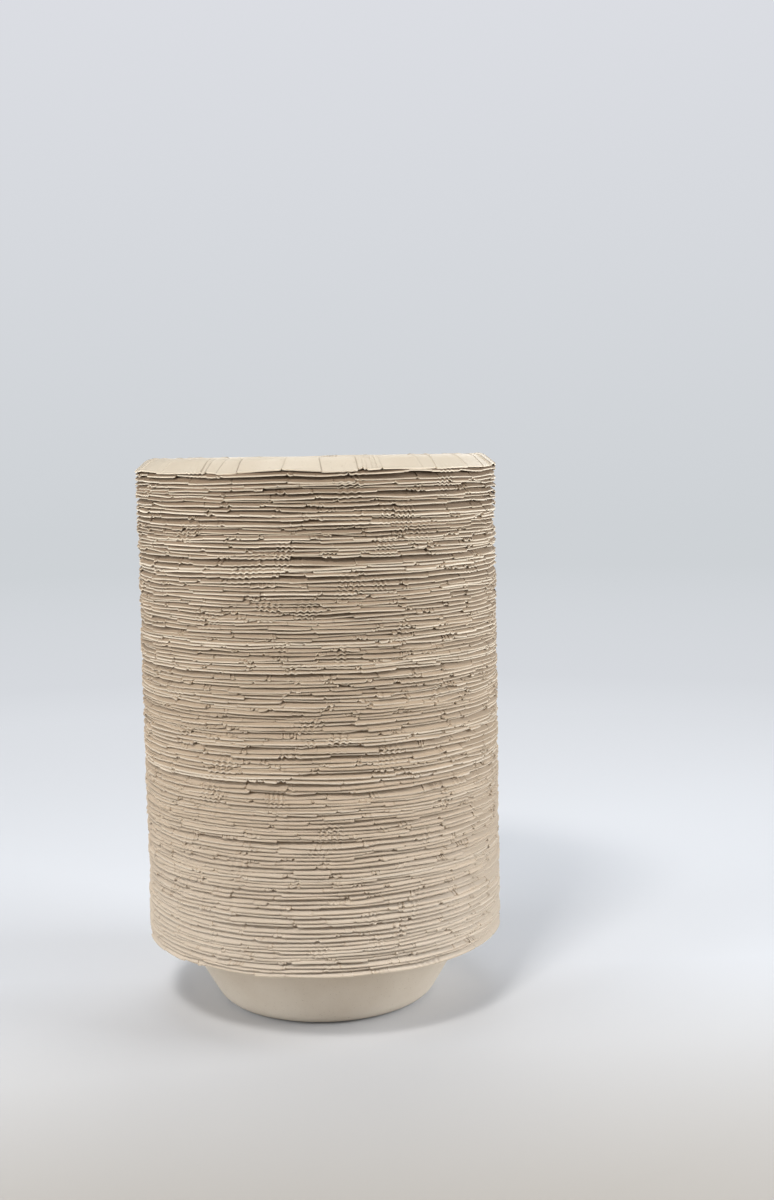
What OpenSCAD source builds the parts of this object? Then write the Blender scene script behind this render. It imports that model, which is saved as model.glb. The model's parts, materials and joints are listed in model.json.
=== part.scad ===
// A sleeve of round paper bowls, nested one in another and standing on the lowest one.
// Millimetres, +Z up. The origin is on the table, under the middle of the lowest bowl.

/* [Stack] */
// Number of bowls in the stack
bowl_count = 125; // [12:1:170]
// Smallest gap between two nested bowls
nest_gap = 0.04; // [0.02:0.01:0.3]
// How far uneven pleats hold two bowls apart on average, measured at the middle
pleat_lift = 0.37; // [0.1:0.01:0.6]
// Share of its lean that each bowl passes on to the next one up
lean_carry = 0.8; // [0:0.05:0.9]
// Which of the many ways the bowls may happen to lie
deal = 11; // [1:1:99]

/* [Bowl] */
// Diameter over the rim
rim_d = 159; // [140:1:190]
// Height of one bowl over the rim
bowl_h = 37.8; // [32:0.1:50]
// Diameter of the flat bottom, up to where it starts to curve
bottom_d = 84; // [60:1:100]
// Radius of the curve from the bottom into the wall
knee_r = 9; // [4:0.5:12]
// Radius of the curve over the top of the rim
crest_r = 5; // [3:0.25:6]
// Distance from the edge of the rim in to the top of its curve
crest_inset = 8; // [6:0.25:10]
// Slope of the turned-down skirt of the rim, in degrees
skirt_slope = 42; // [30:1:50]

/* [Board] */
// Thickness of the board at the flat bottom
board_t = 0.4; // [0.3:0.05:0.6]
// Thickness where pleats double the board, on the wall and the rim
pleated_t = 0.6; // [0.4:0.05:0.8]

/* [Crimps of the open bowl] */
// Number of crimps around the top bowl
crimp_count = 48; // [12:1:60]
// Width of one crimp at the edge of the rim
crimp_w = 1.6; // [0.8:0.1:2.4]
// Height of a crimp above the face of the board
crimp_h = 0.35; // [0.2:0.05:0.6]
// Share of the wall that the crimps run down
crimp_reach = 0.6; // [0.3:0.05:0.9]
// How far a crimp strays from its even place, as a share of the spacing
crimp_stray = 0.35; // [0:0.05:0.4]

/* [Hidden] */
// Bowls in one tier of the sleeve
TIER = 3;
KNEE_STEPS = 4;
CREST_STEPS = 7;
ROUND = 96;
// Colour of the paler card at the foot of the stack, and of the tan card at its crown
FOOT_CARD = [0.87, 0.83, 0.77];
CROWN_CARD = [0.78, 0.70, 0.60];

rim_r = rim_d / 2;
bottom_r = bottom_d / 2;

// Centres of the two curves of the bowl's underside
knee_at = [bottom_r, knee_r];
crest_at = [rim_r - crest_inset, bowl_h - pleated_t - crest_r];

// The wall is the straight line that touches both curves
span = crest_at - knee_at;
wall_slope = atan2(span[1], span[0]) + asin((knee_r + crest_r) / norm(span));

// The point of each curve where the outline has slope a
function on_knee(a) = knee_at + knee_r * [sin(a), -cos(a)];
function on_crest(a) = crest_at + crest_r * [-sin(a), cos(a)];

// A place on the underside is [point, slope, thickness of the board there]
function knee_place(s) = [on_knee(s * wall_slope), s * wall_slope, board_t + s * (pleated_t - board_t)];
function crest_place(s) =
    let (a = wall_slope - s * (wall_slope + skirt_slope))
    [on_crest(a), a, pleated_t];

// The skirt runs straight down from the crest to the edge of the rim
skirt_top = on_crest(-skirt_slope);
skirt_run = rim_r - pleated_t * sin(skirt_slope) - skirt_top[0];
edge_place = [skirt_top + skirt_run * [1, -tan(skirt_slope)], -skirt_slope, pleated_t];

underside = [
    [[0, 0], 0, board_t],
    for (k = [0:KNEE_STEPS]) knee_place(k / KNEE_STEPS),
    for (k = [0:CREST_STEPS]) crest_place(k / CREST_STEPS),
    edge_place,
];

// The point that lies at right angles over a place of the underside, so far from it
function over(place, by) = place[0] + by * [-sin(place[1]), cos(place[1])];
function reversed(list) = [for (k = [len(list) - 1:-1:0]) list[k]];

// Pitch of two bowls that lie as close as their walls, skirts and bottoms let them
tight_pitch = max((pleated_t + nest_gap) / cos(max(wall_slope, skirt_slope)), board_t + nest_gap);

// A bulging pleat somewhere around the wall tips each bowl a little against the one below.
// A lean is a vector toward the side that lies lower, in shares of the mean tip.
bulges = rands(0, 1, bowl_count + 1, deal);
bulge_turns = rands(0, 360, bowl_count + 1, deal + 100);
function tipped(k) = (0.1 + pow(bulges[k], 2)) * [cos(bulge_turns[k]), sin(bulge_turns[k])];
leans = [
    for (k = 0, lean = [0, 0]; k < bowl_count; k = k + 1, lean = lean_carry * lean + tipped(k))
    lean
];
tips = [for (k = [1:bowl_count - 1]) norm(leans[k] - leans[k - 1])];
function sum_of(list, n) = n <= 0 ? 0 : list[n - 1] + sum_of(list, n - 1);

// A tip lifts the middle of a bowl by as much as it lowers the rim on its lower side
lift_per_tip = pleat_lift * (bowl_count - 1) / sum_of(tips, bowl_count - 1);
degrees_per_tip = atan(lift_per_tip / rim_r);
function seat_z(k) = k * tight_pitch + lift_per_tip * sum_of(tips, k);

function card_colour(k) = FOOT_CARD + k / (bowl_count - 1) * (CROWN_CARD - FOOT_CARD);

// The crimps of the top bowl stand on its upper face, from part way up the wall to the edge
wall_foot = on_knee(wall_slope);
crimp_foot = wall_foot + (1 - crimp_reach) * (on_crest(wall_slope) - wall_foot);
crimp_line = [
    [crimp_foot, wall_slope, pleated_t],
    for (place = underside) if (place[0][0] > crimp_foot[0]) place,
];
crimp_turn = crimp_w / rim_r * 180 / PI;
strays = rands(-crimp_stray, crimp_stray, crimp_count, deal + 200);

tiers = ceil((bowl_count - 2) / TIER);
function tier_name(t) = str("bowls_tier_", t < 10 ? "0" : "", t);

// One pressed bowl, as it stands alone on the table
module bowl() {
    outline = concat(
        [for (place = underside) place[0]],
        reversed([for (place = underside) over(place, place[2])])
    );
    rotate_extrude($fn = ROUND) polygon(outline);
}

// A fold of the board, thinning out at its foot on the wall
module crimp() {
    outline = concat(
        [for (place = crimp_line) over(place, pleated_t / 2)],
        reversed([for (k = [0:len(crimp_line) - 1]) over(crimp_line[k], pleated_t + (k > 0 ? crimp_h : 0))])
    );
    rotate([0, 0, -crimp_turn / 2])
        rotate_extrude(angle = crimp_turn, $fn = ROUND)
        polygon(outline);
}

// Puts bowl number k where it rests, leaning about the middle of its rim
module seated(k) {
    translate([0, 0, seat_z(k) + bowl_h])
        rotate(a = norm(leans[k]) * degrees_per_tip, v = [-leans[k][1], leans[k][0], 0])
        translate([0, 0, -bowl_h])
        children();
}

module bottom_bowl() {
    color(card_colour(0)) bowl();
}

// Bowls that lie one in another between the bottom bowl and the top bowl
module bowls_tier(t) {
    first = 1 + (t - 1) * TIER;
    last = min(first + TIER - 1, bowl_count - 2);
    for (k = [first:last])
        color(card_colour(k)) seated(k) bowl();
}

module top_bowl() {
    color(card_colour(bowl_count - 1))
        seated(bowl_count - 1)
        union() {
            bowl();
            for (k = [0:crimp_count - 1])
                rotate([0, 0, (k + strays[k]) * 360 / crimp_count]) crimp();
        }
}

bottom_bowl();
for (t = [1:tiers])
    bowls_tier(t);
top_bowl();
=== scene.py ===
import json
import math

import bpy
import numpy as np
from mathutils import Matrix, Vector


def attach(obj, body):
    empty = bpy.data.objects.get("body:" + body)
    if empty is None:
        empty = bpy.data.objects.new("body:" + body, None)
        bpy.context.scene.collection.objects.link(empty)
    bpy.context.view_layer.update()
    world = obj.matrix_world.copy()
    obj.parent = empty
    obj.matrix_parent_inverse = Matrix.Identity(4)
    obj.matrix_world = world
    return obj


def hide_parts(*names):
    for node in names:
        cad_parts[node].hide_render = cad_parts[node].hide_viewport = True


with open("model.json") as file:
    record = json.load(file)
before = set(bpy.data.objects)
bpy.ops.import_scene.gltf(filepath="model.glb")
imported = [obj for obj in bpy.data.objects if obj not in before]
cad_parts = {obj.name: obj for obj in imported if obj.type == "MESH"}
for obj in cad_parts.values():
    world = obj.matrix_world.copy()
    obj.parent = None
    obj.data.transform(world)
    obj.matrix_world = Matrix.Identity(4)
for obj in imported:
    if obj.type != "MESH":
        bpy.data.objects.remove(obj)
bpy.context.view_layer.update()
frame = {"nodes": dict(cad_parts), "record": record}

MM = 0.001
TURN = 2 * math.pi

# The bowl, in millimetres, with its foot at z = 0
RIM_R = 79.5
BOWL_H = 37.8
BOTTOM_R = 42.0
KNEE_R = 9.0
CREST_R = 5.0
CREST_INSET = 8.0
SKIRT_SLOPE = math.radians(42)
BOARD_T = 0.4
PLEATED_T = 0.6
# How thick a sheet looks at its cut edge
SHEET_T = 0.44
# How far the lower and the upper face lie over the underside of the solid
LOW = 0.06
TOP = LOW + SHEET_T
# How far past the rim of the solid an edge may stand
PAST_RIM = 0.06
SEED = 8

# The photograph's camera, in pixels of its frame, millimetres and radians
PHOTO_SIZE = (774, 1200)
FOCAL_PX = 1500
CAMERA_BACK = 670.0
CAMERA_UP = 244.5
CAMERA_DOWN = 0.099
CAMERA_RIGHT = 0.0455
CAMERA_ROLL = -0.0181

knee_at = np.array([BOTTOM_R, KNEE_R])
crest_at = np.array([RIM_R - CREST_INSET, BOWL_H - PLEATED_T - CREST_R])
span = crest_at - knee_at
WALL_SLOPE = math.atan2(span[1], span[0]) + math.asin((KNEE_R + CREST_R) / math.hypot(*span))
skirt_top = crest_at + CREST_R * np.array([math.sin(SKIRT_SLOPE), math.cos(SKIRT_SLOPE)])
SKIRT_RUN = RIM_R - PLEATED_T * math.sin(SKIRT_SLOPE) - skirt_top[0]
edge_at = skirt_top + SKIRT_RUN * np.array([1, -math.tan(SKIRT_SLOPE)])
# Height of the rim's outer corner over the bowl's foot
CORNER_H = edge_at[1] + PLEATED_T * math.cos(SKIRT_SLOPE)

# Lengths along the underside, from the edge of the rim inward
SKIRT_LEN = SKIRT_RUN / math.cos(SKIRT_SLOPE)
CREST_LEN = CREST_R * (WALL_SLOPE + SKIRT_SLOPE)
wall_top = crest_at + CREST_R * np.array([-math.sin(WALL_SLOPE), math.cos(WALL_SLOPE)])
wall_foot = knee_at + KNEE_R * np.array([math.sin(WALL_SLOPE), -math.cos(WALL_SLOPE)])
WALL_LEN = math.hypot(*(wall_top - wall_foot))
KNEE_LEN = KNEE_R * WALL_SLOPE
CREST_END = SKIRT_LEN + CREST_LEN
WALL_END = CREST_END + WALL_LEN
KNEE_END = WALL_END + KNEE_LEN


def outline(s):
    """Point (r, z) and upward normal of the underside, s along it from the edge of the rim."""
    if s <= SKIRT_LEN:
        a = -SKIRT_SLOPE
        p = edge_at - s * np.array([math.cos(a), math.sin(a)])
    elif s <= CREST_END:
        a = -SKIRT_SLOPE + (s - SKIRT_LEN) / CREST_R
        p = crest_at + CREST_R * np.array([-math.sin(a), math.cos(a)])
    elif s <= WALL_END:
        a = WALL_SLOPE
        p = wall_top - (s - CREST_END) * np.array([math.cos(a), math.sin(a)])
    elif s <= KNEE_END:
        a = WALL_SLOPE - (s - WALL_END) / KNEE_R
        p = knee_at + KNEE_R * np.array([math.sin(a), -math.cos(a)])
    else:
        a = 0.0
        p = np.array([BOTTOM_R - (s - KNEE_END), 0.0])
    return p, np.array([-math.sin(a), math.cos(a)])


# Where each bowl lies, read from the frame

# A vertex so near the rim's radius belongs to the corner ring
ON_RIM = 0.15
# Pitch that the top bowl is given, which has no bowl over it
OPEN_AIR = 4.0


def solids_of(mesh):
    """Vertex positions of each separate solid of a mesh, in millimetres."""
    n = len(mesh.vertices)
    at = np.empty(3 * n)
    mesh.vertices.foreach_get("co", at)
    at = at.reshape(n, 3) / MM
    _, same = np.unique(at.round(3), axis=0, return_inverse=True)
    same = same.ravel()
    ends = np.empty(2 * len(mesh.edges), dtype=np.int64)
    mesh.edges.foreach_get("vertices", ends)
    ends = same[ends.reshape(-1, 2)]
    label = np.arange(same.max() + 1)
    while True:
        low = np.minimum(label[ends[:, 0]], label[ends[:, 1]])
        new = label.copy()
        np.minimum.at(new, ends[:, 0], low)
        np.minimum.at(new, ends[:, 1], low)
        new = new[new]
        if (new == label).all():
            break
        label = new
    label = label[same]
    return [at[label == k] for k in np.unique(label)]


def seat_of(points):
    """Matrix that puts a bowl where this solid lies, from the corner ring of its rim."""
    r = np.hypot(points[:, 0], points[:, 1])
    ring = points[abs(r - RIM_R) < ON_RIM]
    fit = np.column_stack([ring[:, :2], np.ones(len(ring))])
    (dx, dy, level), *_ = np.linalg.lstsq(fit, ring[:, 2], rcond=None)
    up = Vector((-dx, -dy, 1)).normalized()
    pivot = Vector((0, 0, level + (BOWL_H - CORNER_H) / up.z))
    turn = Vector((0, 0, 1)).rotation_difference(up).to_matrix().to_4x4()
    return np.array(Matrix.Translation(pivot) @ turn @ Matrix.Translation((0, 0, -BOWL_H)))


nodes = frame["nodes"]
seats = []
for node in nodes:
    for solid in solids_of(nodes[node].data):
        seats.append((seat_of(solid), node))
seats.sort(key=lambda seat: seat[0][2, 3])
COUNT = len(seats)


def rim_level(k, angles):
    """Height of the rim's corner all round bowl k."""
    ring = np.array([RIM_R * np.cos(angles), RIM_R * np.sin(angles), np.full(len(angles), CORNER_H)])
    return (seats[k][0][:3, :3] @ ring + seats[k][0][:3, 3:])[2]


def room_over(k, angles):
    """Pitch to the next bowl up, all round bowl k. The top bowl has open air over it."""
    if k == COUNT - 1:
        return np.full(len(angles), OPEN_AIR)
    return rim_level(k + 1, angles) - rim_level(k, angles)


# Folds, edges and waves

# How many folds lie together, how often, and how far apart
CLUSTER = [1, 1, 2, 3, 5]
CLUSTER_ODDS = [0.3, 0.2, 0.2, 0.18, 0.12]
CLUSTER_GAPS = (0.9, 2.3)
# How far a cluster strays from its even place, as a share of the spacing
STRAY = 0.42
# Sizes of the folds, and how often one laps to the same side as its cluster
FOLD_SIZES = (0.45, 1.0)
SAME_SIDE = 0.8
# Width of a lapped fold, and how its back slopes off
LAP_WIDTH = 1.0
LAP_CURVE = 1.4
# A fold fades out over this share of its reach, and is fainter at some places of the outline
FADE = 0.35
FAINTER_AT = [0, 0.7, 8, CREST_END, WALL_END]
FAINTER = [0.8, 1, 0.9, 0.55, 0.4]
# How far a fold of a hidden bowl runs in from the edge
SHORT_REACH = 12.0
# Closest two samples of a rim, and how far a fold's painted shade line and its notch spread to each side
CLOSEST = 0.08
LINE_HALF = 0.5
# How much the lip rises and falls from fold to fold
KINK = 0.1
# The cut edge: how much it steps and slants between folds, how far it is set back, and its nicks
STEP, SLANT, SET_BACK = 0.37, 0.19, 0.34
NICKS = (-0.4, 1.0)


def folds_of(rng, clusters, reach):
    """Folds of one bowl: [angle, height, side, reach in mm], lone ones and tight clusters."""
    found = []
    for spot in (np.arange(clusters) + rng.uniform(-STRAY, STRAY, clusters)) * TURN / clusters:
        many = rng.choice(CLUSTER, p=CLUSTER_ODDS)
        gaps = rng.uniform(*CLUSTER_GAPS, many) / RIM_R
        side = rng.choice([-1, 1])
        for place in spot + np.cumsum(gaps) - gaps.sum() / 2:
            turned = side if rng.random() < SAME_SIDE else -side
            found.append([place % TURN, rng.uniform(*FOLD_SIZES), turned, reach(place % TURN)])
    return np.array(sorted(found))


def short_reach(place):
    """Reach of a fold on a bowl whose wall is hidden, the same all round."""
    return SHORT_REACH


def samples_for(folds, fill, beside, ripples):
    """Angles round the bowl: even ones, a few beside each fold, and close ones along the ripples."""
    even = np.arange(fill) * TURN / fill
    by_folds = (folds[:, :1] + np.array(beside)[None] / RIM_R).ravel()
    by_ripples = [at + np.arange(-half, half, period / 4) / RIM_R for at, half, _, period, _ in ripples]
    angles = np.sort(np.concatenate([even, by_folds, *by_ripples]) % TURN)
    return angles[np.diff(angles, append=angles[0] + TURN) > CLOSEST / RIM_R]


def along(angles, place):
    """Signed distance along the rim from an angle, in millimetres."""
    return ((angles - place + math.pi) % TURN - math.pi) * RIM_R


def laps(angles, folds):
    """Shape of each lapped fold: a step on one side and a slope on the other."""
    x = along(angles[None], folds[:, :1]) * folds[:, 2:3]
    return np.where(x >= 0, np.clip(1 - x / LAP_WIDTH, 0, 1) ** LAP_CURVE, 0) * folds[:, 1:2]


def kinked(angles, folds, rng):
    """How high each stretch of the lip between two folds stands over its even place."""
    places = folds[:, 0]
    levels = rng.normal(0, KINK, len(places))
    return np.interp(angles, places, levels, period=TURN)


def creased(angles, folds, dark):
    """How much painted shade lies along each fold: 1 at the fold, 0 a little way off."""
    near = np.clip(1 - abs(along(angles[None], folds[:, :1])) / LINE_HALF, 0, 1)
    return near * dark[:, None]


def held(folds, s):
    """How much of each fold is left at s: it fades out at its reach, and is fainter on the wall."""
    fade = np.clip((folds[:, 3] - s) / (FADE * folds[:, 3]), 0, 1)
    return (fade * np.interp(s, FAINTER_AT, FAINTER))[:, None]


def ragged(angles, folds, rng):
    """How far the cut edge lies past its even place: it steps at the folds, with small nicks."""
    places = folds[:, 0]
    steps = rng.normal(0, STEP, len(places))
    slants = rng.normal(0, SLANT, len(places))
    which = np.searchsorted(places, angles, side="right") - 1
    start = places[which]
    length = np.roll(places, -1)[which] - start
    share = ((angles - start) % TURN) / (length % TURN + 1e-9)
    edge = steps[which] + slants[which] * (share - 0.5) * 2 - SET_BACK
    nicks = np.clip(rng.uniform(*NICKS, len(places)), 0, None)[:, None]
    near = np.clip(1 - abs(along(angles[None], places[:, None])) / LINE_HALF, 0, 1)
    return np.minimum(edge - (nicks * near).sum(axis=0), PAST_RIM)


# Waves and ripples of the edges go on from bowl to bowl where they are pressed together
GRID = np.arange(1440) * TURN / 1440
WAVES = np.array([2, 3, 5, 8, 12, 19])
WAVE_SIZES = np.array([0.13, 0.13, 0.13, 0.12, 0.1, 0.08])
# Share of its waves that a bowl takes from the one below, and the share that is its own
WAVE_KEPT, WAVE_OWN = 0.55, 0.83
# Patches of ripples, how far each turns from bowl to bowl, how faint a ripple is left out, and how
# far from its end it fades
PATCHES = 200
PATCH_TURN = 0.004
TOO_FAINT = 0.25
END_FADE = 1.5
# How far in from the edge a ripple fades
RIPPLE_DEPTH = 2.2
field = np.random.default_rng(SEED)
wave_now = field.normal(0, 1, (2, len(WAVES)))
wave_parts = []
for _ in range(COUNT):
    wave_now = WAVE_KEPT * wave_now + WAVE_OWN * field.normal(0, 1, wave_now.shape)
    wave_parts.append(wave_now * WAVE_SIZES)


def ripple_patch():
    """One patch of ripples: angle, bowl, half length, spread in bowls, size, period, phase and drift."""
    place = field.uniform(0, TURN)
    bowl = field.uniform(0, COUNT)
    half = field.uniform(2.5, 7)
    spread = field.uniform(0.8, 3.6)
    size = field.uniform(0.2, 0.55)
    period = field.uniform(2.0, 3.2)
    phase = field.uniform(0, TURN)
    drift = field.normal(0, 0.6)
    return place, bowl, half, spread, size, period, phase, drift


patches = [ripple_patch() for _ in range(PATCHES)]


def ripples_at(k):
    """Ripples of the edge of bowl k: (angle, half length, size, period, phase)."""
    found = []
    for place, bowl, half, spread, size, period, phase, drift in patches:
        away = k - bowl
        left = math.exp(-((away / spread) ** 2))
        if left > TOO_FAINT:
            found.append((place + PATCH_TURN * away, half, size * left, period, phase + drift * away))
    return found


def long_waves(k, angles):
    """Height of the low waves all round bowl k."""
    sines, cosines = wave_parts[k]
    turns = WAVES[:, None] * angles[None]
    return (sines[:, None] * np.sin(turns) + cosines[:, None] * np.cos(turns)).sum(axis=0)


def rippled(ripples, angles):
    """Height of the ripples at each angle, fading out at the ends of each patch."""
    total = np.zeros(len(angles))
    for place, half, size, period, phase in ripples:
        x = along(angles, place)
        ends = np.clip((half - abs(x)) / END_FADE, 0, 1)
        total += size * ends * np.sin(TURN * x / period + phase)
    return total


# Meshes


class Shell:
    """Collects rings of vertices and the faces between them, in millimetres."""

    def __init__(self):
        self.at, self.tone, self.crease, self.faces, self.kind, self.total = [], [], [], [], [], 0

    def ring(self, angles, r, z, tone, crease=0.0):
        """Adds a ring, and returns (first vertex, angles)."""
        n = len(angles)
        self.at.append(np.column_stack([r * np.cos(angles), r * np.sin(angles), np.broadcast_to(z, n)]))
        self.tone.append(np.broadcast_to(tone, n))
        self.crease.append(np.broadcast_to(crease, n))
        self.total += n
        return self.total - n, angles

    def strip(self, a, b, kind):
        """Quads between two rings with the same number of vertices."""
        n = len(a[1])
        i = np.arange(n)
        j = (i + 1) % n
        self.faces.append(np.column_stack([a[0] + i, a[0] + j, b[0] + j, b[0] + i]))
        self.kind.append(np.full(n, kind))

    def stitch(self, a, b, kind):
        """Triangles between two rings with different numbers of vertices."""
        ours, theirs = a[1], b[1]
        n, m = len(ours), len(theirs)
        i = np.arange(n)
        j = (np.searchsorted(theirs, ours, side="right") - 1) % m
        one = np.column_stack([a[0] + (i - 1) % n, a[0] + i, b[0] + j, np.full(n, -1)])
        j = np.arange(m)
        i = (np.searchsorted(ours, theirs, side="left") - 1) % n
        two = np.column_stack([a[0] + i, b[0] + j, b[0] + (j - 1) % m, np.full(m, -1)])
        self.faces.append(np.concatenate([one, two]))
        self.kind.append(np.full(n + m, kind))

    def cap(self, a, flip, kind, z, tone):
        """A fan over a ring."""
        n = len(a[1])
        self.at.append(np.array([[0.0, 0.0, z]]))
        self.tone.append(np.array([tone]))
        self.crease.append(np.zeros(1))
        i = np.arange(n)
        j = (i + 1) % n
        middle = np.full(n, self.total)
        self.total += 1
        pair = [a[0] + j, a[0] + i] if flip else [a[0] + i, a[0] + j]
        self.faces.append(np.column_stack([*pair, middle, np.full(n, -1)]))
        self.kind.append(np.full(n, kind))

    def placed(self, seat):
        """Moves what was collected to a bowl's seat."""
        at = np.concatenate(self.at)
        return at @ seat[:3, :3].T + seat[:3, 3]


# Faces that meet at more than this are drawn with a crisp edge
CRISP = math.radians(38)


def join_shells(name, parts):
    """One mesh object from [(shell, seat), ...]."""
    at, tone, crease, faces, kind, base = [], [], [], [], [], 0
    for shell, seat in parts:
        at.append(shell.placed(seat))
        tone.append(np.concatenate(shell.tone))
        crease.append(np.concatenate(shell.crease))
        f = np.concatenate(shell.faces)
        faces.append(np.where(f >= 0, f + base, -1))
        kind.append(np.concatenate(shell.kind))
        base += shell.total
    at, tone, crease, faces, kind = map(np.concatenate, (at, tone, crease, faces, kind))
    mesh = bpy.data.meshes.new(name)
    mesh.vertices.add(len(at))
    mesh.vertices.foreach_set("co", (at * MM).ravel())
    corners = faces[faces >= 0]
    sizes = (faces >= 0).sum(axis=1)
    mesh.loops.add(len(corners))
    mesh.loops.foreach_set("vertex_index", corners)
    mesh.polygons.add(len(faces))
    mesh.polygons.foreach_set("loop_start", np.concatenate([[0], np.cumsum(sizes)[:-1]]))
    mesh.polygons.foreach_set("material_index", kind)
    mesh.update(calc_edges=True)
    # Each vertex keeps its bowl's own tone, lifted above 1 on the lips to mark their painted highlight,
    # and the painted shade along its folds
    for word, values in (("tone", tone), ("crease", crease)):
        mesh.attributes.new(word, "FLOAT", "POINT").data.foreach_set("value", values.astype(np.float32))
    mesh.validate()
    mesh.shade_smooth()
    mesh.set_sharp_from_angle(angle=CRISP)
    piece = bpy.data.objects.new(name, mesh)
    bpy.context.scene.collection.objects.link(piece)
    return piece


# Places of the materials on each piece
COATED, RAW, CUT = 0, 1, 2
# Angles round the hidden part of a bowl, and round the open well of the top one
COARSE = np.arange(40) * TURN / 40
WELL = np.arange(96) * TURN / 96
# Rows of the hidden part of a bowl, along the outline
HIDDEN_STOPS = [CREST_END - 4.2, CREST_END, WALL_END - 1.0, WALL_END + 4.0, KNEE_END]
# Share of the cut edge's steps that the rows behind it follow
FOLLOW = {0.5: 0.75, 1.6: 0.25}
# Rows of the faces of a bowl whose rim alone shows, and places of its samples beside a fold
RIM_ROWS = [0.5, 1.6, 3.3, 6.2]
UNDER_ROWS = [4.6]
BESIDE = [-0.8, -0.12, 0.1, 0.7]
# Limits of a lapped fold's height, and the air left between an edge and the next one
LEAST_LAP, MOST_LAP = 0.05, 0.45
LAP_AIR = 0.1
EDGE_AIR = 0.05
# At the foot the folds have this share of their size, and all of it from this share of the stack up
FOOT_BOLD, BOLD_FROM = 0.6, 0.55
# Share of a fold that shows on the lower face, and on the lower corner of the cut
UNDER_FOLD, CORNER_FOLD = 0.12, 0.15
# Where the two corners of the cut lie along the outline, and how upright the cut is from bowl to bowl
LOW_CORNER, HIGH_CORNER = 0.05, -0.02
UPRIGHT = (0.4, 0.9)
# How far round the folds slant, over how much of the outline, and in how many turns
SLANT_ROUND, SLANT_DEPTH = 0.16, 8
SLANT_TURNS = (4, 7, 11, 16)
# Clusters of folds and even samples of a bowl of the stack, of the lowest bowl and of the top one
CLUSTERS, EVEN = 28, 74
FOOT_CLUSTERS, FOOT_EVEN = 25, 150
TOP_CLUSTERS, TOP_EVEN = 36, 300
# Height of each bowl's edge over its even place, kept for the next bowl up
roof = np.full(len(GRID), -9.0)


def over(s):
    """Height of the upper face over the underside: the board is thinner below the folds."""
    return np.interp(s, [0, WALL_END, KNEE_END], [TOP, TOP, BOARD_T])


def under(s):
    """Height of the lower face over the underside of the solid."""
    return np.interp(s, [0, WALL_END, KNEE_END], [LOW, LOW, 0])


def bowl(k, rng, folds, fill, beside, rows_in, rows_out, bends, coarse):
    """One bowl: dense rows where it shows, coarse ones where the next bowl hides it."""
    global roof
    ripples = ripples_at(k)
    angles = samples_for(folds, fill, beside, ripples)
    lap = laps(angles, folds)
    dark = creased(angles, folds, np.clip(rng.uniform(-0.2, 1.2, len(folds)), 0, 1))
    room = room_over(k, angles) * math.cos(SKIRT_SLOPE) - SHEET_T - LAP_AIR
    lap *= np.clip(room, LEAST_LAP, MOST_LAP)
    bold = np.interp(k, [0, BOLD_FROM * COUNT], [FOOT_BOLD, 1.0])
    lap *= bold
    edge = bold * ragged(angles, folds, rng)
    lip = long_waves(k, angles) + kinked(angles, folds, rng)
    ripple = rippled(ripples, angles)
    if k:
        gap = room_over(k - 1, angles) * math.cos(SKIRT_SLOPE)
        touch = np.interp(angles, GRID, roof, period=TURN) + EDGE_AIR - gap - LOW - lip - ripple
        lip = lip + np.clip(touch, 0, None)
    roof = np.interp(GRID, angles, TOP + lip + ripple + lap.max(axis=0), period=TURN)
    upright = rng.uniform(*UPRIGHT)
    tone = rng.uniform(0, 1)
    lean = sum(rng.normal(0, SLANT_ROUND) * np.sin(c * angles + rng.uniform(0, TURN)) for c in SLANT_TURNS)
    shell = Shell()

    def row(s, lift, fold, follow, lip_highlight_mark=0.0):
        """A dense ring: lift over the underside, its share of the folds and of the cut edge, and a mark
        that lifts its tone above 1 for the lip's raw fibre colour and painted highlight.
        """
        p, n = outline(s)
        left = np.clip(1 - s / CREST_END, 0, 1)
        rise = lift + fold * (lap * held(folds, max(s, 0))).max(axis=0)
        rise = rise + lip * left**1.5 + ripple * math.exp(-max(s, 0) / RIPPLE_DEPTH)
        r = p[0] + n[0] * rise + math.cos(SKIRT_SLOPE) * edge * follow
        z = p[1] + n[1] * rise - math.sin(SKIRT_SLOPE) * edge * follow
        drift = lean * min(max(s, 0), SLANT_DEPTH) / RIM_R + bends(angles, s)
        # Painted shade along the folds on this ring
        line = (dark * held(folds, max(s, 0))).max(axis=0)
        ring = shell.ring(angles + drift, np.minimum(r, RIM_R + PAST_RIM), z, tone + lip_highlight_mark, line)
        return ring[0], angles

    def face(rows, top, kind):
        """One face, from its first ring to the middle of the bowl."""
        last = rows[0]
        for s, ring in rows[1:]:
            pair = (last[1], ring) if top else (ring, last[1])
            shell.strip(*pair, kind)
            last = (s, ring)
        for s in [s for s in HIDDEN_STOPS if s > last[0] + 1]:
            p, n = outline(s)
            lift = over(s) if top else under(s)
            ring = shell.ring(coarse, p[0] + n[0] * lift, p[1] + n[1] * lift, tone)
            pair = (last[1], ring) if top else (ring, last[1])
            if last[1][1] is coarse:
                shell.strip(*pair, kind)
            else:
                shell.stitch(*pair, kind)
            last = (s, ring)
        shell.cap(last[1], not top, kind, BOARD_T if top else 0.0, tone)

    low_corner = LOW_CORNER - upright * SHEET_T * math.tan(SKIRT_SLOPE)
    # The two corner rows of the cut carry the mark for the lips' raw fibre colour and painted highlight
    low_lip = row(low_corner, LOW, CORNER_FOLD, 1.0, 1.0)
    high_lip = row(HIGH_CORNER, TOP, 1.0, 1.0, 1.0)
    shell.strip(low_lip, high_lip, CUT)
    inner = [(s, row(s, over(s), 1.0, FOLLOW.get(s, 0.0))) for s in rows_in]
    outer = [(s, row(s, under(s), UNDER_FOLD, 0.0)) for s in rows_out]
    face([(0, high_lip), *inner], True, COATED)
    face([(0, low_lip), *outer], False, RAW)
    return shell


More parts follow.
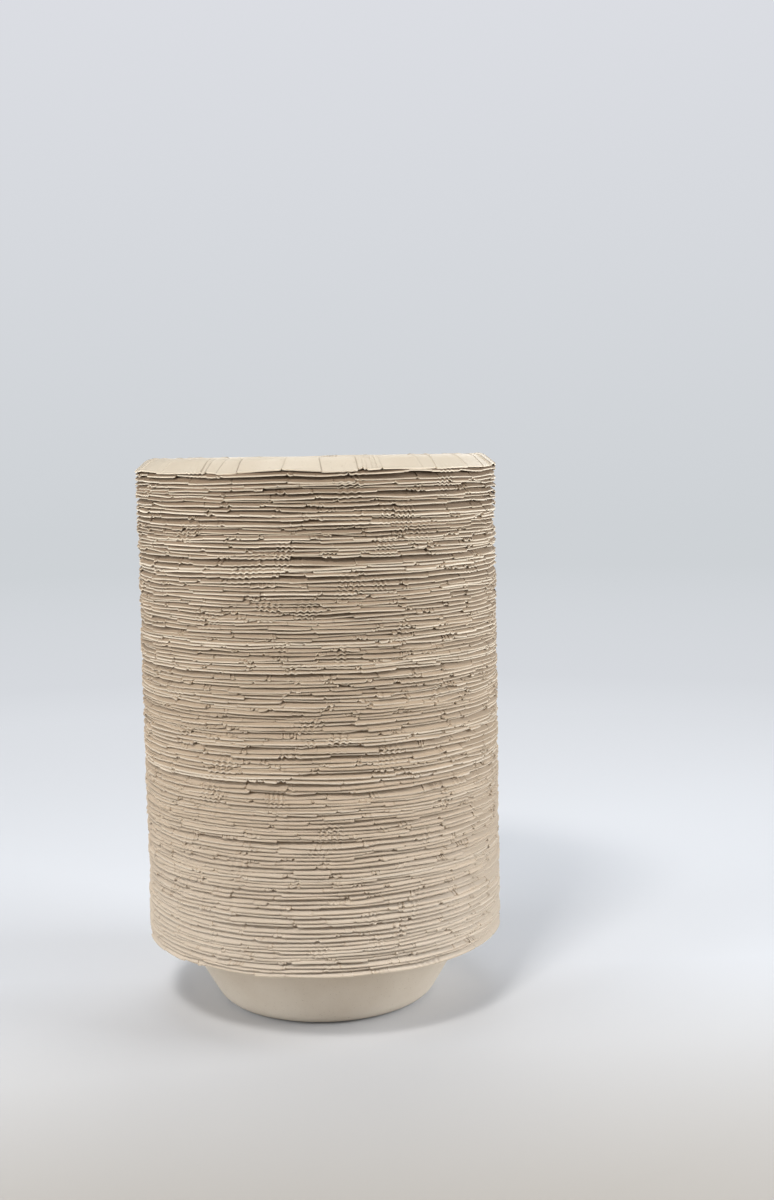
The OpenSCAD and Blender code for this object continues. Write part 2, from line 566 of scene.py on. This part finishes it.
def straight(angles, s):
    """Folds that run straight in from the edge."""
    return 0.0


def sleeve_bowl(k, rng):
    """A bowl of the stack: only its skirt and the fold of its crest show."""
    folds = folds_of(rng, CLUSTERS, short_reach)
    return bowl(k, rng, folds, EVEN, BESIDE, RIM_ROWS, UNDER_ROWS, straight, COARSE)


def bottom_bowl(k, rng):
    """The lowest bowl, whose outer wall shows."""
    folds = folds_of(rng, FOOT_CLUSTERS, short_reach)
    rim = [1.5, 3, 4.6, 6, 8, 10, 12, 14]
    rows_out = [*rim, *np.arange(17, WALL_END, 4), *np.linspace(WALL_END, KNEE_END, 6)]
    return bowl(k, rng, folds, FOOT_EVEN, BESIDE, RIM_ROWS, rows_out, straight, COARSE)


def top_bowl(k, rng):
    """The top bowl: its folds run on down the wall as fine creases, and its well is smooth."""
    a, b, c, d = rng.uniform(0, TURN, 4)

    def reach(place):
        """Some folds end on the rim and others run down the wall."""
        often = 0.5 + 0.5 * math.sin(place + a)
        if rng.random() < 0.25 + 0.45 * often:
            return rng.uniform(CREST_END, WALL_END + 4)
        return rng.uniform(9, CREST_END + 4)

    def bends(angles, s):
        """How far round the folds have drifted at s."""
        down = np.clip((s - 8) / (WALL_END - 8), 0, 1)
        ease = down * down * (3 - 2 * down)
        sway = 0.05 * np.sin(2 * angles + b) + 0.045 * np.sin(3 * angles + c)
        sway += 0.03 * np.sin(5 * angles + d)
        return ease * sway + 0.035 * math.sin(math.pi * down) * np.sin(4 * angles + a)

    folds = folds_of(rng, TOP_CLUSTERS, reach)
    rim = [0.5, 1.6, 2.4, 3.4, 4.5, *np.linspace(SKIRT_LEN, CREST_END, 11)]
    wall = [*np.linspace(CREST_END, WALL_END, 27)[1:], *np.linspace(WALL_END, KNEE_END, 9)[1:]]
    rows = [*rim, *wall, KNEE_END + 3]
    beside = [-1.1, -0.4, -0.1, 0.08, 0.5, 1.1]
    return bowl(k, rng, folds, TOP_EVEN, beside, rows, UNDER_ROWS, bends, WELL)


# Materials


def srgb(*levels):
    """Linear colour of a plain sRGB one, from 0 to 255."""
    return [((v / 255 + 0.055) / 1.055) ** 2.4 if v > 10 else v / 255 / 12.92 for v in levels] + [1]


class Nodes:
    """Short words for building a node tree."""

    def __init__(self, name):
        self.material = bpy.data.materials.new(name)
        self.material.use_nodes = True
        self.tree = self.material.node_tree
        self.shader = self.tree.nodes["Principled BSDF"]

    def add(self, kind, values=None, **settings):
        node = self.tree.nodes.new(kind)
        for key, value in settings.items():
            setattr(node, key, value)
        for key, value in (values or {}).items():
            if isinstance(value, bpy.types.NodeSocket):
                self.tree.links.new(value, node.inputs[key])
            else:
                node.inputs[key].default_value = value
        return node

    def link(self, out, socket):
        self.tree.links.new(out, socket)

    def place(self):
        return self.add("ShaderNodeTexCoord").outputs["Object"]

    def noise(self, scale, detail, rough, stretch=None):
        spot = self.place()
        if stretch:
            spot = self.add("ShaderNodeVectorMath", {0: spot, 1: stretch}, operation="MULTIPLY").outputs[0]
        values = {"Vector": spot, "Scale": scale, "Detail": detail, "Roughness": rough}
        return self.add("ShaderNodeTexNoise", values).outputs["Fac"]

    def ramp(self, fac, *stops):
        node = self.add("ShaderNodeValToRGB", {"Fac": fac})
        bar = node.color_ramp.elements
        while len(bar) < len(stops):
            bar.new(0.5)
        for element, (at, colour) in zip(bar, stops):
            element.position, element.color = at, colour
        return node.outputs["Color"]

    def mix(self, fac, a, b):
        node = self.add("ShaderNodeMix", {"Factor": fac}, data_type="RGBA")
        for socket, value in ((node.inputs[6], a), (node.inputs[7], b)):
            if isinstance(value, bpy.types.NodeSocket):
                self.tree.links.new(value, socket)
            else:
                socket.default_value = value
        return node.outputs[2]

    def times(self, a, b):
        return self.add("ShaderNodeMath", {0: a, 1: b}, operation="MULTIPLY").outputs[0]

    def span(self, value, low, high, to_low=0.0, to_high=1.0):
        return self.add("ShaderNodeMapRange", {"Value": value, "From Min": low, "From Max": high,
                                               "To Min": to_low, "To Max": to_high}).outputs[0]

    def bump(self, height, strength, distance, under=None):
        values = {"Height": height, "Strength": strength, "Distance": distance}
        if under:
            values["Normal"] = under
        return self.add("ShaderNodeBump", values).outputs["Normal"]


# Height of the stack over which the painted shade of the crown gives way to the painted light of the foot,
# in metres
STACK_H = 0.24
# Tints that are mixed into every card: a bowl's own tone, clouds, fibres and flecks
TONE_TINT = srgb(176, 150, 120)
CLOUD_TINT = srgb(168, 143, 115)
FIBRE_TINT = srgb(232, 220, 201)
FLECK_TINT = srgb(140, 112, 82)
# Colours of the lips at the foot of the stack and at its crown: raw fibre with a painted highlight,
# strongest at the crown
FOOT_EDGE_FIBRE_AND_HIGHLIGHT, CROWN_EDGE_FIBRE_AND_HIGHLIGHT = srgb(202, 189, 172), srgb(246, 232, 210)
# Painted shade along the folds, at the foot of the stack and at its crown
FOOT_FOLD_SHADE, CROWN_FOLD_SHADE = srgb(190, 167, 141), srgb(82, 58, 36)


def card(name, crown, middle, foot, rough, specular, grain, fold_shading):
    """Pressed bowl card with fibres: darker towards the crown of the stack as painted shade between the
    rims and paler towards its foot as painted light, with painted shade along the folds and, on the lips,
    raw fibre colour with a painted highlight.
    """
    n = Nodes(name)
    height = n.add("ShaderNodeSeparateXYZ", {0: n.place()}).outputs["Z"]
    # Painted shade darkens the card towards the crown, between the rims, and painted light pales it
    # towards the foot
    base = n.ramp(n.span(height, 0.0, STACK_H), (0.0, foot), (0.5, middle), (1.0, crown))
    up = n.span(height, 0.02, STACK_H)
    tone = n.add("ShaderNodeAttribute", attribute_name="tone").outputs["Fac"]
    base = n.mix(n.span(tone, 0, 1, 0.0, 0.22), base, TONE_TINT)
    cloud = n.noise(38, 4, 0.6)
    base = n.mix(n.span(cloud, 0.35, 0.7, 0.0, 0.2), base, CLOUD_TINT)
    fibre = n.noise(2600, 5, 0.7, stretch=(1, 1, 3.5))
    base = n.mix(n.span(fibre, 0.35, 0.72, 0.0, 0.22), base, FIBRE_TINT)
    fleck = n.noise(1400, 2, 0.5)
    base = n.mix(n.span(fleck, 0.66, 0.74, 0.0, 0.35), base, FLECK_TINT)
    # The lips, marked by a tone above 1, take the raw fibre colour with a painted highlight that is
    # strongest at the crown
    edge_fibre_and_highlight = n.ramp(up, (0.0, FOOT_EDGE_FIBRE_AND_HIGHLIGHT), (1.0, CROWN_EDGE_FIBRE_AND_HIGHLIGHT))
    base = n.mix(n.span(tone, 1.0, 1.9, 0.0, 0.7), base, edge_fibre_and_highlight)
    # Painted shade along the folds, darker towards the crown
    crease = n.add("ShaderNodeAttribute", attribute_name="crease").outputs["Fac"]
    shade = n.ramp(up, (0.0, FOOT_FOLD_SHADE), (1.0, CROWN_FOLD_SHADE))
    base = n.mix(n.span(crease, 0.1, 1.0, 0.0, fold_shading), base, shade)
    n.link(base, n.shader.inputs["Base Color"])
    n.link(n.span(cloud, 0.3, 0.7, rough - 0.06, rough + 0.06), n.shader.inputs["Roughness"])
    n.shader.inputs["Specular IOR Level"].default_value = specular
    n.link(n.bump(fibre, grain, 0.0002, n.bump(cloud, 0.25, 0.0008)), n.shader.inputs["Normal"])
    return n.material


# Colours at the crown, the middle and the foot of the stack: the faces are darker at the crown as painted
# shade between the rims and paler at the foot as painted light; the cut edge is raw fibre, lightest at the
# crown as a painted highlight
COATED_TINTS = srgb(98, 72, 47), srgb(174, 152, 128), srgb(214, 200, 183)
RAW_TINTS = srgb(108, 84, 58), srgb(172, 152, 126), srgb(222, 210, 193)
CUT_TINTS = srgb(248, 232, 207), srgb(204, 186, 162), srgb(198, 185, 168)
SATIN = srgb(192, 181, 163)
coated = card("coated_card", *COATED_TINTS, rough=0.55, specular=0.3, grain=0.18, fold_shading=0.9)
raw = card("raw_card", *RAW_TINTS, rough=0.82, specular=0.2, grain=0.45, fold_shading=0.0)
cut_edge = card("cut_card_edge", *CUT_TINTS, rough=0.9, specular=0.15, grain=0.6, fold_shading=0.5)
satin = card("satin_card", SATIN, SATIN, SATIN, rough=0.42, specular=0.4, grain=0.1, fold_shading=0.6)


def dress(piece, covered, finish):
    """Gives a piece its materials and its place in the frame."""
    inner = satin if finish == "coated_card" else coated
    for material in (inner, raw, cut_edge):
        piece.data.materials.append(material)
    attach(piece, "root")
    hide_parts(*covered)


# The bowls

slot_of = {part["node"]: part["material_slot"] for part in frame["record"]["subparts"]}
rng = np.random.default_rng(SEED + 1)
shells = {}
for k, (seat, node) in enumerate(seats):
    make = {0: bottom_bowl, COUNT - 1: top_bowl}.get(k, sleeve_bowl)
    shells.setdefault(node, []).append((make(k, rng), seat))
for node, parts in shells.items():
    dress(join_shells(node.replace("bowls_tier", "bowls") + "_card", parts), [node], slot_of[node])

# Floor and light

# Colours of the far floor and of the air above it, as the camera sees them
NEAR_GLOW = srgb(232, 235, 240)
MID_GLOW = srgb(214, 217, 222)
FAR_GLOW = srgb(206, 210, 214)
HIGH_GLOW = srgb(220, 222, 228)
# Colours of the floor itself, in front of the object and beside it
FRONT_FLOOR, FLOOR = srgb(163, 156, 147), srgb(211, 212, 215)
# Colour and strength of the light from all round
AIR = srgb(238, 241, 246)
AIR_LIGHT = 0.22


def floor_material():
    """Pale floor that keeps the shadow near the object and fades into the backdrop far off."""
    n = Nodes("studio_floor")
    ahead = n.add("ShaderNodeSeparateXYZ", {0: n.place()}).outputs["Y"]
    base = n.ramp(n.span(ahead, -0.24, 0.02), (0.0, FRONT_FLOOR), (1.0, FLOOR))
    n.link(base, n.shader.inputs["Base Color"])
    n.shader.inputs["Roughness"].default_value = 0.8
    n.shader.inputs["Specular IOR Level"].default_value = 0.15
    away = n.add("ShaderNodeVectorMath", {0: n.place()}, operation="LENGTH").outputs["Value"]
    tint = n.ramp(n.span(away, 0.3, 2.5), (0.0, NEAR_GLOW), (0.3, MID_GLOW), (1.0, FAR_GLOW))
    glow = n.add("ShaderNodeEmission", {"Color": tint, "Strength": 1.0})
    path = n.add("ShaderNodeLightPath")
    far = n.times(n.span(away, 0.22, 0.75), path.outputs["Is Camera Ray"])
    blend = n.add("ShaderNodeMixShader", {0: far, 1: n.shader.outputs[0], 2: glow.outputs[0]})
    n.link(blend.outputs[0], n.tree.nodes["Material Output"].inputs["Surface"])
    return n.material


FLOOR_R = 2.6
bpy.ops.mesh.primitive_circle_add(vertices=128, radius=FLOOR_R, fill_type="NGON")
floor = bpy.context.object
floor.name = "floor"
floor.data.materials.append(floor_material())


def studio_air():
    """Soft light from all round, and a backdrop that pales upward."""
    world = bpy.data.worlds.new("studio")
    bpy.context.scene.world = world
    world.use_nodes = True
    tree = world.node_tree
    light = tree.nodes["Background"]
    light.inputs["Color"].default_value = AIR
    light.inputs["Strength"].default_value = AIR_LIGHT
    toward = tree.nodes.new("ShaderNodeTexCoord")
    split = tree.nodes.new("ShaderNodeSeparateXYZ")
    tree.links.new(toward.outputs["Generated"], split.inputs[0])
    rise = tree.nodes.new("ShaderNodeMapRange")
    rise.inputs["From Min"].default_value, rise.inputs["From Max"].default_value = -0.05, 0.3
    tree.links.new(split.outputs["Z"], rise.inputs["Value"])
    ramp = tree.nodes.new("ShaderNodeValToRGB")
    ramp.color_ramp.elements[0].color, ramp.color_ramp.elements[1].color = FAR_GLOW, HIGH_GLOW
    tree.links.new(rise.outputs[0], ramp.inputs["Fac"])
    seen = tree.nodes.new("ShaderNodeBackground")
    tree.links.new(ramp.outputs["Color"], seen.inputs["Color"])
    path = tree.nodes.new("ShaderNodeLightPath")
    blend = tree.nodes.new("ShaderNodeMixShader")
    tree.links.new(path.outputs["Is Camera Ray"], blend.inputs[0])
    tree.links.new(light.outputs[0], blend.inputs[1])
    tree.links.new(seen.outputs[0], blend.inputs[2])
    tree.links.new(blend.outputs[0], tree.nodes["World Output"].inputs["Surface"])


def softbox(name, at, aim, width, height, watts, colour):
    """A rectangular studio light that looks at a point."""
    lamp = bpy.data.lights.new(name, "AREA")
    lamp.shape = "RECTANGLE"
    lamp.size, lamp.size_y = width, height
    lamp.energy = watts
    lamp.color = colour
    box = bpy.data.objects.new(name, lamp)
    box.location = at
    box.rotation_mode = "QUATERNION"
    box.rotation_quaternion = (Vector(aim) - Vector(at)).to_track_quat("-Z", "Y")
    bpy.context.scene.collection.objects.link(box)


# Point that the lights look at, in metres, and the tint of those at the sides
MIDDLE = (0, 0, 0.12)
COOL = (0.9, 0.95, 1.0)

studio_air()
softbox("key", (-0.35, -0.85, 1.25), MIDDLE, 0.3, 0.22, 11, (1.0, 0.985, 0.96))
softbox("left", (-1.2, -0.5, 0.6), MIDDLE, 0.8, 0.9, 13, COOL)
softbox("right", (1.25, -0.3, 0.6), MIDDLE, 0.8, 0.9, 20, COOL)
softbox("behind", (0.3, 1.3, 0.8), MIDDLE, 0.9, 0.7, 3.5, (1.0, 0.99, 0.97))
softbox("overhead", (-0.1, 0.4, 1.5), (0, 0, 0.1), 1.0, 0.8, 6, (0.98, 0.99, 1.0))

# Camera


def photo_camera():
    """The photograph's camera, in the row frame."""
    data = bpy.data.cameras.new("photo_camera")
    data.sensor_width = 36
    data.lens = FOCAL_PX / max(PHOTO_SIZE) * data.sensor_width
    data.clip_start, data.clip_end = 0.01, 50
    camera = bpy.data.objects.new("photo_camera", data)
    down, right, roll = CAMERA_DOWN, CAMERA_RIGHT, CAMERA_ROLL
    ahead = Vector((math.sin(right) * math.cos(down), math.cos(right) * math.cos(down), -math.sin(down)))
    across = ahead.cross(Vector((0, 0, 1))).normalized()
    up = across.cross(ahead)
    level = across * math.cos(roll) + up * math.sin(roll)
    upright = up * math.cos(roll) - across * math.sin(roll)
    turn = Matrix((level, upright, -ahead)).transposed().to_4x4()
    camera.matrix_world = Matrix.Translation((0, -CAMERA_BACK * MM, CAMERA_UP * MM)) @ turn
    bpy.context.scene.collection.objects.link(camera)
    bpy.context.scene.camera = camera


photo_camera()
bpy.context.scene.view_settings.view_transform = "Standard"
